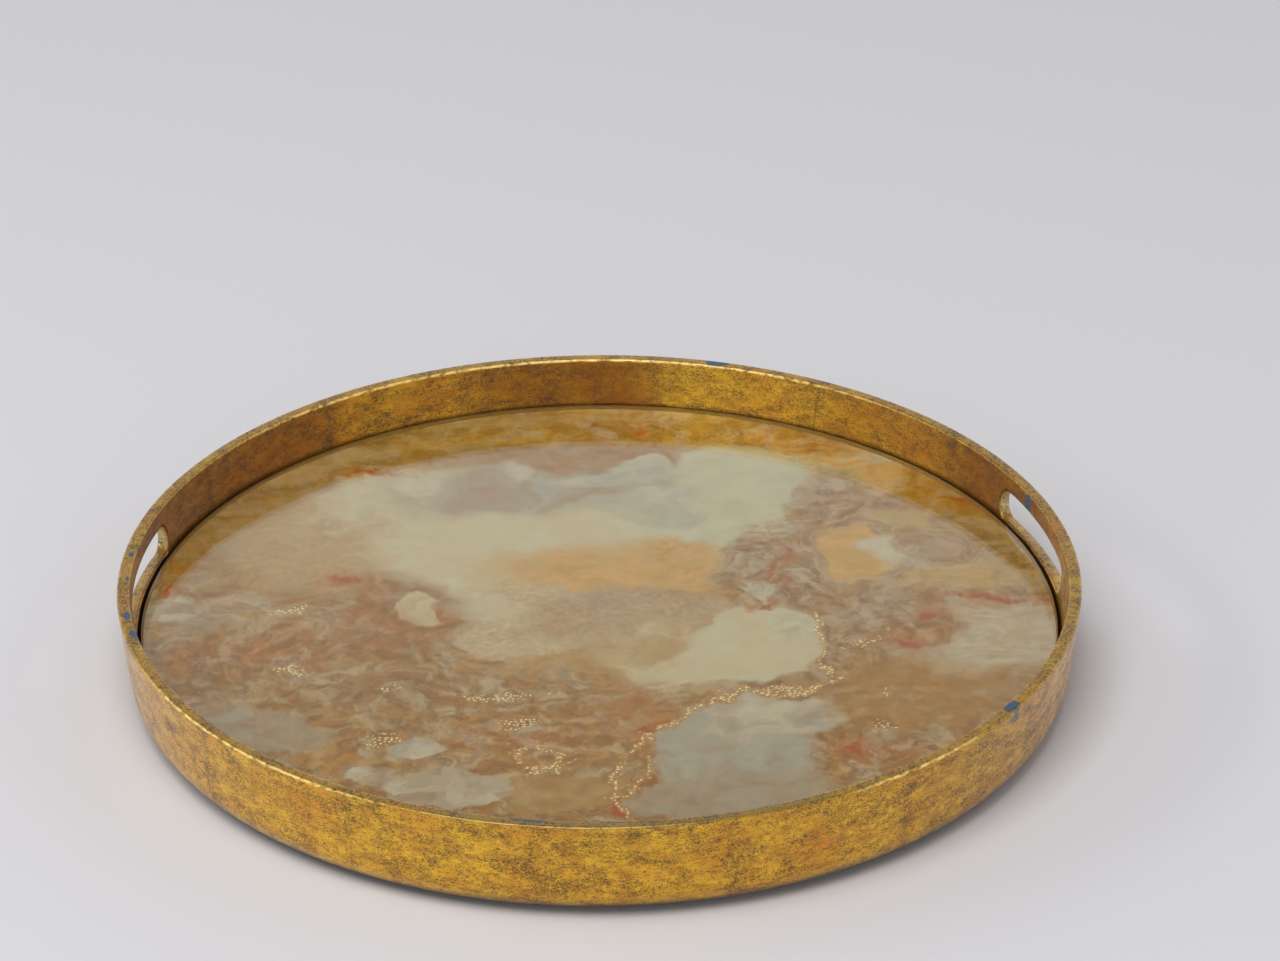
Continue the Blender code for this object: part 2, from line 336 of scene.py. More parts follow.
def slot_loops():
    """Steps through the wall: share of its thickness, way from border to slot, and inset."""
    turn = [math.radians(90 * step / EASING_STEPS) for step in range(EASING_STEPS + 1)]
    into = [(0, way, 0) for way in WAYS_TO_SLOT]
    easing = SLOT_EDGE_ROUND / WALL_THICKNESS
    into += [(easing * (1 - math.cos(a)), 1, SLOT_EDGE_ROUND * (1 - math.sin(a))) for a in turn]
    out = [(1 - share, way, inset) for share, way, inset in reversed(into)]
    return into + out


def join_loops(shape, near, far):
    """Faces between two closed loops of points."""
    for here in range(len(near)):
        after = (here + 1) % len(near)
        shape.faces.new((near[here], near[after], far[after], far[here]))


def weave_slot(skin, grid, middle):
    """Close one window of the wall with a slot that runs through it."""
    half = SLOT_LENGTH / 2 + WINDOW_MARGIN
    first = round((middle - half / SLOT_REFERENCE) / (2 * math.pi) * COLUMNS)
    last = round((middle + half / SLOT_REFERENCE) / (2 * math.pi) * COLUMNS)
    across = list(range(first, last + 1))
    heights = list(reversed(window_heights()))
    border = [(column, 0) for column in across]
    border += [(last, row) for row in range(1, WINDOW_ROWS + 1)]
    border += [(column, WINDOW_ROWS) for column in reversed(across[:-1])]
    border += [(first, row) for row in range(WINDOW_ROWS - 1, 0, -1)]
    inner = [grid[inner_window + row][column % COLUMNS] for column, row in border]
    outer = [grid[outer_window + WINDOW_ROWS - row][column % COLUMNS] for column, row in border]
    end_radius = SLOT_HEIGHT / 2
    straight = SLOT_LENGTH / 2 - end_radius
    places = []
    for column, row in border:
        along = (column / COLUMNS * 2 * math.pi - middle) * SLOT_REFERENCE
        up = heights[row] - SLOT_Z
        core = min(max(along, -straight), straight)
        away = Vector((along - core, up))
        places.append((along, up, core, away.normalized()))
    loops = [inner]
    for share, way, inset in slot_loops():
        loop = []
        for along, up, core, toward in places:
            reach = end_radius + inset
            goal_along = core + toward.x * reach
            goal_up = toward.y * reach
            here_along = along + (goal_along - along) * way
            here_up = up + (goal_up - up) * way
            azimuth = middle + here_along / SLOT_REFERENCE
            loop.append(skin.verts.new(on_wall(azimuth, SLOT_Z + here_up, share)))
        loops.append(loop)
    loops.append(outer)
    for near, far in zip(loops, loops[1:]):
        join_loops(skin, near, far)
    return {column % COLUMNS for column in across[:-1]}


# %% Skin of the wall
HAND_WAVE = 0.10 * MM
HAND_WAVE_LENGTH = 55 * MM


def finish_mesh(name, shape):
    """Turn a bmesh into a smooth object in the scene."""
    bmesh.ops.recalc_face_normals(shape, faces=shape.faces)
    mesh = bpy.data.meshes.new(name)
    shape.to_mesh(mesh)
    shape.free()
    mesh.shade_smooth()
    piece = bpy.data.objects.new(name, mesh)
    bpy.context.scene.collection.objects.link(piece)
    return piece


def make_wall():
    """The gilded skin: rows round the section, columns round the tray, and two woven slots."""
    skin = bmesh.new()
    angles = [2 * math.pi * column / COLUMNS for column in range(COLUMNS)]
    grid = [[skin.verts.new((x * math.cos(a), x * math.sin(a), z)) for a in angles] for x, z in outline]
    open_columns = set()
    for middle in SLOT_MIDDLES:
        open_columns |= weave_slot(skin, grid, middle)
    open_rows = set(range(outer_window, outer_window + WINDOW_ROWS))
    open_rows |= set(range(inner_window, inner_window + WINDOW_ROWS))
    for row in range(len(outline)):
        below = (row + 1) % len(outline)
        for column in range(COLUMNS):
            if row in open_rows and column in open_columns:
                continue
            after = (column + 1) % COLUMNS
            upper, lower = grid[row], grid[below]
            skin.faces.new((upper[column], upper[after], lower[after], lower[column]))
    for vertex in skin.verts:
        outward = Vector((vertex.co.x, vertex.co.y, 0)).normalized()
        wave = noise.noise(vertex.co / HAND_WAVE_LENGTH)
        vertex.co += outward * wave * HAND_WAVE
    return finish_mesh("gilded_wall", skin)


wall = make_wall()
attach(wall, "root")
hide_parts("rim_hoop", "foot_ring")
print(f"wall: {len(wall.data.polygons)} faces")

# %% [markdown]
# The wall's finish is imitation gold leaf: squares of beaten brass laid edge to edge over a blue
# ground, rubbed back, darkened with a wash of brown glaze and sealed with clear lacquer. To the eye
# that gives a warm metal whose tone changes from leaf to leaf, fine brown flecks and short scratches
# in clouds, blue where the rim is rubbed through, and a pale sheen where the lacquer is seen at a low
# angle. On the inner face the leaf tones also carry painted shade, and they turn more orange as they
# darken, a painted reflection of gold in gold. Stretches of the top edges carry painted highlights,
# and the wall is painted darker low down as shade near the floor. The routed slots took less leaf and
# are paler, and the groove beside the glass is painted nearly black as shade. The flecks are dense
# where a slower noise is high, and they are drawn as coarse as they need to be to show. Pairs of
# numbers are where a change starts and where it is full, in millimetres of height or of depth in the
# wall.

# %% Gold leaf: colours and sizes
LEAF_COUNT = 16
LEAF_TURN = 0.48
LEAF_FADE = (0.17, 0.83)
# Tone of each leaf round the tray. On the inner face it also carries painted shade.
LEAF_TONES_AND_SHADE = (0.9, 0.52, 0.76, 1.06, 0.54, 0.86, 0.52, 0.47,
              0.62, 0.98, 1.05, 1.04, 0.98, 0.98, 0.86, 0.86)
LEAF_GOLD = "#f9c436"
LEAF_TAN = "#cf9632"
LEAF_ORANGE = "#e0912c"
GLAZE_BROWN = "#86601f"
GLAZE_DARK = "#4a3716"
GLAZE_OLIVE = "#94792f"
BLUE_GROUND = "#1f4358"
SLOT_PALE = "#cdbb88"
# Painted shade for the groove beside the glass.
GROOVE_SHADE = "#1c140c"
# A painted highlight on the top edges.
EDGE_HIGHLIGHT = "#fbd777"
OUTSIDE_TONE = 0.84
FLECK_MM = 0.9
SCRATCH_MM = 0.8
SMUDGE_MM = 4
DRIFT_MM = 12
CLOUD_MM = 17
SWAY_MM = 30
WARMTH_MM = 48
WALL_MM = WALL_THICKNESS / MM
GLASS_TOP_MM = glass_high.z / MM
RIM_HEIGHTS = (56.7, 57.5)
EDGE_HEIGHTS = (56.5, 57.0)
RUBBED_HEIGHTS = (49.0, 50.0)
BELOW_GLASS_HEIGHTS = (27.0, 26.0)
# Painted shade: the wall darkens towards the floor between these heights.
LOW_SHADE_HEIGHTS = (8.0, 20.0)
GROOVE_HEIGHTS = (GLASS_TOP_MM + 0.3, GLASS_TOP_MM - 0.5)
GROOVE_DEPTHS = (1.2, 0.8)
OUTSIDE_DEPTHS = (0.4, 1.4)
SLOT_DEPTHS = (0.5, 1.1)
SLOT_PALE_REACH = (8.5, 5.0)
SLOT_REACH = (12.0, 11.0)
GLAZED_EDGE_MIDDLE = math.radians(-91)
GLAZED_EDGE_ENDS = (math.radians(26), math.radians(26) - 0.1)

# %% Gold leaf: painted highlights and worn places
# Painted highlights: depths where each starts and is full, then middle and half length in degrees.
EDGE_HIGHLIGHTS = ((5.5, 6.1, -141, 24), (5.5, 6.1, -54.5, 11), (1.1, 0.7, 93, 52))
# Degrees, radius, half length and half width.
RUBBED_PLACES = (
    (185.1, 253.4, 5.0, 2.6), (189.6, 253.0, 5.5, 2.4), (176.0, 252.6, 3.0, 1.0),
    (170.1, 253.6, 3.5, 1.6), (70.4, 255.0, 8.0, 4.0), (322.0, 254.4, 6.5, 3.8),
    (257.4, 252.3, 11.0, 1.7), (267.4, 251.9, 9.0, 1.4), (213.5, 251.3, 24.0, 0.9),
    (15.7, 250.4, 4.5, 1.0), (300.0, 251.2, 16.0, 0.6), (98.0, 257.4, 40.0, 0.6),
)
print(LEAF_COUNT, "leaves,", len(RUBBED_PLACES), "rubbed places")


def leaf_laps(tree, place, azimuth):
    """Leaf tones with painted shade, the thin line where a leaf laps the next, and a band of dirt."""
    sway = add(tree, "TexNoise", {"Vector": place, "Scale": 1 / SWAY_MM, "Detail": 3.0})
    leaf = add(tree, "Math", [azimuth, LEAF_COUNT / (2 * math.pi), LEAF_TURN], operation="MULTIPLY_ADD")
    leaf = add(tree, "Math", [sway, 0.08, leaf], operation="MULTIPLY_ADD")
    around = add(tree, "Math", [leaf, 1 / LEAF_COUNT], operation="MULTIPLY")
    around = add(tree, "Math", [around], operation="FRACT")
    tones = add(tree, "ValToRGB", [around])
    ramp = tones.node.color_ramp
    edges = [(number + side) / LEAF_COUNT for number in range(LEAF_COUNT) for side in LEAF_FADE]
    for number, edge in enumerate(edges):
        stop = ramp.elements[number] if number < 2 else ramp.elements.new(edge)
        stop.position = edge
        # Darker stops turn more orange, a painted reflection of gold in gold.
        shade = LEAF_TONES_AND_SHADE[number // 2]
        stop.color = (shade / 2, shade ** 1.5 / 2, shade ** 2 / 2, 1)
    tone = add(tree, "VectorMath", {0: tones, "Scale": 2.0}, operation="SCALE")
    to_lap = add(tree, "Math", [leaf, 0.5], operation="PINGPONG")
    lap_number = add(tree, "Math", [leaf], operation="ROUND")
    strength = add(tree, "TexWhiteNoise", {"W": lap_number}, noise_dimensions="1D")
    line = add(tree, "MapRange", [to_lap, 0.008, 0.003, 0, 0.5], interpolation_type="SMOOTHSTEP")
    line = add(tree, "Math", [line, strength], operation="MULTIPLY")
    band = add(tree, "MapRange", [to_lap, 0.06, 0.01], interpolation_type="SMOOTHSTEP")
    return tone, line, band


def rubbed_through(tree, azimuth, out, height, ragged):
    """Where the blue ground shows: ellipses on the unrolled rim, with ragged edges."""
    around = add(tree, "Math", [azimuth, RIM_RADIUS / MM], operation="MULTIPLY")
    unrolled = add(tree, "CombineXYZ", [around, out])
    nearest = 9.0
    for degrees, radius, half_length, half_width in RUBBED_PLACES:
        along = math.radians(degrees if degrees <= 180 else degrees - 360) * RIM_RADIUS / MM
        local = add(tree, "Mapping", {
            "Vector": unrolled, "Location": (along, radius, 0), "Scale": (half_length, half_width, 1)},
            vector_type="TEXTURE")
        reach = add(tree, "VectorMath", [local], "Value", operation="LENGTH")
        nearest = add(tree, "Math", [nearest, reach], operation="MINIMUM")
    nearest = add(tree, "Math", [ragged, 1.6, nearest], operation="MULTIPLY_ADD")
    bare = add(tree, "MapRange", [nearest, 1.75, 1.55])
    return add(tree, "MapRange", [height, *RUBBED_HEIGHTS, 0, bare])


def depth_in_wall(tree, out, height):
    """Distance outward from the wall's inner face, in millimetres."""
    foot = wall_radius(0, 0) / MM
    inner = add(tree, "Math", [height, math.tan(WALL_LEAN), foot], operation="MULTIPLY_ADD")
    return add(tree, "Math", [out, inner], operation="SUBTRACT")


def in_slot(tree, depth, height):
    """The cut faces of the slots: those between the wall's two faces, at the slots' height."""
    away = apart(tree, height, SLOT_Z / MM)
    pale = add(tree, "MapRange", [away, *SLOT_PALE_REACH, 0.15, 0.75])
    pale = add(tree, "MapRange", [away, *SLOT_REACH, 0, pale])
    pale = add(tree, "MapRange", [depth, *SLOT_DEPTHS, 0, pale])
    return add(tree, "MapRange", [depth, *(WALL_MM - near for near in SLOT_DEPTHS), 0, pale])


def tone_on_face(tree, tone, depth, height, on_rim):
    """A tone with painted shade, held up outside, below the glass and on the rim, and darker low down.
    """
    outside = add(tree, "MapRange", [depth, *OUTSIDE_DEPTHS, 0, OUTSIDE_TONE])
    below = add(tree, "MapRange", [height, *BELOW_GLASS_HEIGHTS, 0, OUTSIDE_TONE])
    for held in (outside, below, on_rim):
        tone = add(tree, "VectorMath", [tone, held], operation="MAXIMUM")
    # Painted shade: darker towards the floor.
    low_shade = add(tree, "MapRange", [height, *LOW_SHADE_HEIGHTS, 0.84])
    return add(tree, "VectorMath", {0: tone, "Scale": low_shade}, operation="SCALE")


def painted_edge_highlights(tree, azimuth, depth, height):
    """Painted highlights on stretches of the two top edges."""
    brightest = 0.0
    for start, full, middle, half in EDGE_HIGHLIGHTS:
        beside = add(tree, "MapRange", [depth, start, full, 0, 0.9])
        away = apart(tree, azimuth, math.radians(middle))
        here = add(tree, "MapRange", [away, math.radians(half), math.radians(half * 0.6), 0, beside])
        brightest = add(tree, "Math", [brightest, here], operation="MAXIMUM")
    return add(tree, "MapRange", [height, *EDGE_HEIGHTS, 0, brightest])


# %% Gold leaf: the finish
def gold_leaf():
    """Aged imitation gold leaf under clear lacquer."""
    material, tree = new_material("lacquered_imitation_gold_leaf")
    place = millimetres(tree)
    axes = add(tree, "SeparateXYZ", [place]).node.outputs
    height = axes["Z"]
    azimuth = add(tree, "Math", [axes["Y"], axes["X"]], operation="ARCTAN2")
    out = from_axis(tree, place)
    depth = depth_in_wall(tree, out, height)
    flat = add(tree, "VectorMath", [place, (1, 1, 2.0)], operation="MULTIPLY")
    leaf_tone_and_shade, lap_line, lap_band = leaf_laps(tree, place, azimuth)

    dash = add(tree, "VectorMath", [place, (0.45, 0.45, 1)], operation="MULTIPLY")
    cloud, drift, warm, fleck, smudge, scratch = (
        add(tree, "TexNoise", {"Vector": at, "Scale": 1 / size, "Detail": detail, "Roughness": rough,
                               "Distortion": warp})
        for at, size, detail, rough, warp in (
            (flat, CLOUD_MM, 5.0, 0.65, 0.5), (flat, DRIFT_MM, 6.0, 0.7, 0.3),
            (place, WARMTH_MM, 4.0, 0.6, 0.0), (place, FLECK_MM, 2.0, 0.5, 0.0),
            (flat, SMUDGE_MM, 4.0, 0.6, 0.0), (dash, SCRATCH_MM, 1.0, 0.5, 0.0)))

    on_rim = add(tree, "MapRange", [height, *RIM_HEIGHTS])
    dirt = add(tree, "MapRange", [cloud, 0.36, 0.66, -0.05, 0.10])
    dirt = add(tree, "Math", [lap_band, 0.04, dirt], operation="MULTIPLY_ADD")
    dirt = add(tree, "Math", [on_rim, 0.02, dirt], operation="MULTIPLY_ADD")
    dark = lap_line
    for pattern, low, high in ((fleck, 0.55, 0.70), (scratch, 0.61, 0.72)):
        mark = add(tree, "Math", [pattern, dirt], operation="ADD")
        mark = add(tree, "MapRange", [mark, low, high, 0, 0.8])
        dark = add(tree, "Math", [dark, mark], operation="MAXIMUM")

    colour = paint_where(tree, drift, 0.40, 0.64, 1.0, LEAF_GOLD, LEAF_TAN)
    colour = paint_where(tree, warm, 0.46, 0.68, 0.6, colour, LEAF_ORANGE)
    glaze = add(tree, "Math", [smudge, dirt], operation="ADD")
    colour = paint_where(tree, glaze, 0.48, 0.72, 0.5, colour, GLAZE_BROWN)
    # On the inner face this tone carries painted shade and painted reflection colour.
    shade = tone_on_face(tree, leaf_tone_and_shade, depth, height, on_rim)
    colour = add(tree, "VectorMath", [colour, shade], operation="MULTIPLY")
    colour = paint_over(tree, in_slot(tree, depth, height), colour, SLOT_PALE)
    from_front = apart(tree, azimuth, GLAZED_EDGE_MIDDLE)
    olive = add(tree, "MapRange", [from_front, *GLAZED_EDGE_ENDS, 0.35, 0.8])
    olive = add(tree, "Math", [olive, on_rim], operation="MULTIPLY")
    colour = paint_over(tree, olive, colour, GLAZE_OLIVE)
    colour = paint_over(tree, dark, colour, GLAZE_DARK)
    # Painted shade: the groove beside the glass, and all that lies inward of the wall's inner face
    # below the glass top, is darkened nearly to black.
    groove = add(tree, "MapRange", [depth, *GROOVE_DEPTHS, 0, 0.92])
    groove = add(tree, "MapRange", [height, *GROOVE_HEIGHTS, 0, groove])
    colour = paint_over(tree, groove, colour, GROOVE_SHADE)
    # Painted highlights on stretches of the top edges, broken up by the smudge noise.
    bright = painted_edge_highlights(tree, azimuth, depth, height)
    bright = add(tree, "MapRange", [smudge, 0.62, 0.45, 0, bright])
    colour = paint_over(tree, bright, colour, EDGE_HIGHLIGHT)
    bare = rubbed_through(tree, azimuth, out, height, smudge)
    colour = paint_over(tree, bare, colour, BLUE_GROUND)

    # Flecks and olive glaze half cover the metal. The blue ground, the painted groove shade and the
    # painted highlights cover it fully.
    covered = add(tree, "Math", [dark, 0.5], operation="MULTIPLY")
    covered = add(tree, "Math", [olive, 0.5, covered], operation="MULTIPLY_ADD")
    for bare_or_painted_light in (bare, groove, bright):
        covered = add(tree, "Math", [covered, bare_or_painted_light], operation="MAXIMUM")
    metal = add(tree, "Math", [1.0, covered], operation="SUBTRACT", use_clamp=True)
    rough = add(tree, "MapRange", [drift, 0.3, 0.7, 0.32, 0.46])
    rough = add(tree, "Math", [dark, 0.2, rough], operation="MULTIPLY_ADD")
    relief = add(tree, "Math", [dark, -0.6, smudge], operation="MULTIPLY_ADD")
    relief = add(tree, "Math", [drift, 1.5, relief], operation="MULTIPLY_ADD")
    bump = add(tree, "Bump", {"Height": relief, "Strength": 0.35, "Distance": 0.15 * MM})
    surface = add(tree, "BsdfPrincipled", {
        "Base Color": colour, "Metallic": metal, "Roughness": rough, "Normal": bump,
        "Coat Weight": 0.55, "Coat Roughness": 0.2, "Coat IOR": 1.5})
    add(tree, "OutputMaterial", {"Surface": surface})
    return material


wall.data.materials.append(gold_leaf())
print("gold leaf on the wall")

# %% [markdown]
# The floor's glass is 4 mm float glass with a ground, polished edge. It is a turned disc whose edge
# is rounded. It lies a little to the back, where the groove beside it is hardly seen, and the paint
# from below runs over its edge. Light has to reach the painted layer beneath it, so the glass is
# clear to the rays that look for a lamp, and refracts all others.

# %% Glass
GLASS_EDGE_ROUND = 0.5 * MM
GLASS_STEPS = 288
FLOAT_GLASS = "#fafcfa"
GLASS_BACK = 0.8 * MM
PAINTED_EDGE = "#76572a"
PAINTED_EDGE_MM = 1.0
PAINT_END_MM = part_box("onyx_layer")[1].x / MM
DISC_RINGS = (0.5, 0.97)


def turned_piece(name, points, steps, across=0, back=0):
    """A solid turned about an upright axis. Its points run down from near the top's middle."""
    shape = bmesh.new()
    angles = [2 * math.pi * step / steps for step in range(steps)]
    rings = [[shape.verts.new((across + x * math.cos(a), back + x * math.sin(a), z)) for a in angles]
             for x, z in points]
    for upper, lower in zip(rings, rings[1:]):
        join_loops(shape, upper, lower)
    for ring, z in ((rings[0], points[0][1]), (rings[-1], points[-1][1])):
        middle = shape.verts.new((across, back, z))
        for step in range(steps):
            shape.faces.new((middle, ring[step], ring[(step + 1) % steps]))
    return finish_mesh(name, shape)


def rounded_disc(radius, bottom, top, edge):
    """Half section of a disc with a rounded edge, from near its top's middle down."""
    inner = radius - edge
    section = [(radius * share, top) for share in DISC_RINGS]
    section += quarter((inner, top - edge), edge, 90, 0, EDGE_STEPS)
    section += quarter((inner, bottom + edge), edge, 0, -90, EDGE_STEPS)
    return section + [(radius * share, bottom) for share in reversed(DISC_RINGS)]


def clear_glass():
    """Clear float glass, polished on both faces, with paint on its edge and at its rim below."""
    material, tree = new_material("polished_float_glass")
    surface = add(tree, "BsdfPrincipled", {
        "Base Color": linear(FLOAT_GLASS), "Roughness": 0.02, "IOR": 1.5, "Transmission Weight": 1.0})
    open_air = add(tree, "BsdfTransparent", {"Color": linear(FLOAT_GLASS)})
    lamp_ray = add(tree, "LightPath", output="Is Shadow Ray")
    both = add(tree, "MixShader", [lamp_ray, surface, open_air])
    upright = add(tree, "SeparateXYZ", [add(tree, "NewGeometry", output="Normal")], "Z")
    upright = add(tree, "Math", [upright], operation="ABSOLUTE")
    edge = add(tree, "MapRange", [upright, 0.95, 0.8])
    place = millimetres(tree)
    level = add(tree, "SeparateXYZ", [place], "Z")
    beyond = add(tree, "MapRange", [from_axis(tree, place), PAINT_END_MM - 0.4, PAINT_END_MM - 0.1])
    low = glass_low.z / MM
    beyond = add(tree, "MapRange", [level, low + PAINTED_EDGE_MM, low + PAINTED_EDGE_MM / 2, 0, beyond])
    edge = add(tree, "Math", [edge, beyond], operation="MAXIMUM")
    paint = add(tree, "BsdfPrincipled", {
        "Base Color": linear(PAINTED_EDGE), "Roughness": 0.6, "Specular IOR Level": 0.1})
    both = add(tree, "MixShader", [edge, both, paint])
    add(tree, "OutputMaterial", {"Surface": both})
    return material


glass_section = rounded_disc(glass_high.x, glass_low.z, glass_high.z, GLASS_EDGE_ROUND)
glass = turned_piece("floor_glass", glass_section, GLASS_STEPS, back=GLASS_BACK)
glass.data.materials.append(clear_glass())
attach(glass, "root")
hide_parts("glass_panel")
print(f"glass {2 * glass_high.x / MM:.0f} mm across")

# %% [markdown]
# Behind the glass lies a painted onyx pattern: translucent stone drawn as pale islands in bands of
# ochre, mauve and brown, with rust veins and gold glitter along the cracks. It is built up as a
# painter would: a mottled ground, then islands laid over it one by one, each with its own softness
# of edge and its own share of fine mottling, then rust strokes, and glitter last. One slow noise
# bends them all, which gives them natural outlines.

# %% Onyx: colours
ONYX = {
    "cream": "#9c9274", "warm_cream": "#9d8c68", "green_cream": "#938b6c", "grey_lilac": "#857f6a",
    "lilac": "#83694a", "white": "#998d74", "low_white": "#806c50", "beige": "#937b56",
    "sand": "#8d6f40", "tan": "#805f29", "brown": "#6f4c1a", "ochre": "#8a672a", "amber": "#987532",
    "orange": "#845318", "mauve": "#7a5d33", "grey": "#837560", "pink": "#7c5b2a",
    "peach": "#a67c40", "straw": "#8e7748", "yellow": "#845810", "olive": "#6e5122",
}
PALE_LINE = "#a1895c"
PALE_DOT = "#9a8260"
MOTTLE_ORANGE = "#845416"
MOTTLE_LILAC = "#867059"
PALE_FLAKE = "#968361"
DARK_FLAKE = "#6f4712"
RUST = "#8a5210"
DARK_RUST = "#803608"
GLITTER = "#d6c68a"

# %% [markdown]
# Each island is an ellipse: its middle, half sizes and turn, then how soft its edge is, the two
# paints that are mixed in it, the pattern that mixes them, and how busy its fine mottling is. A
# stroke is a long thin ellipse. Glitter lies in runs of straight stretches and in loose clusters.

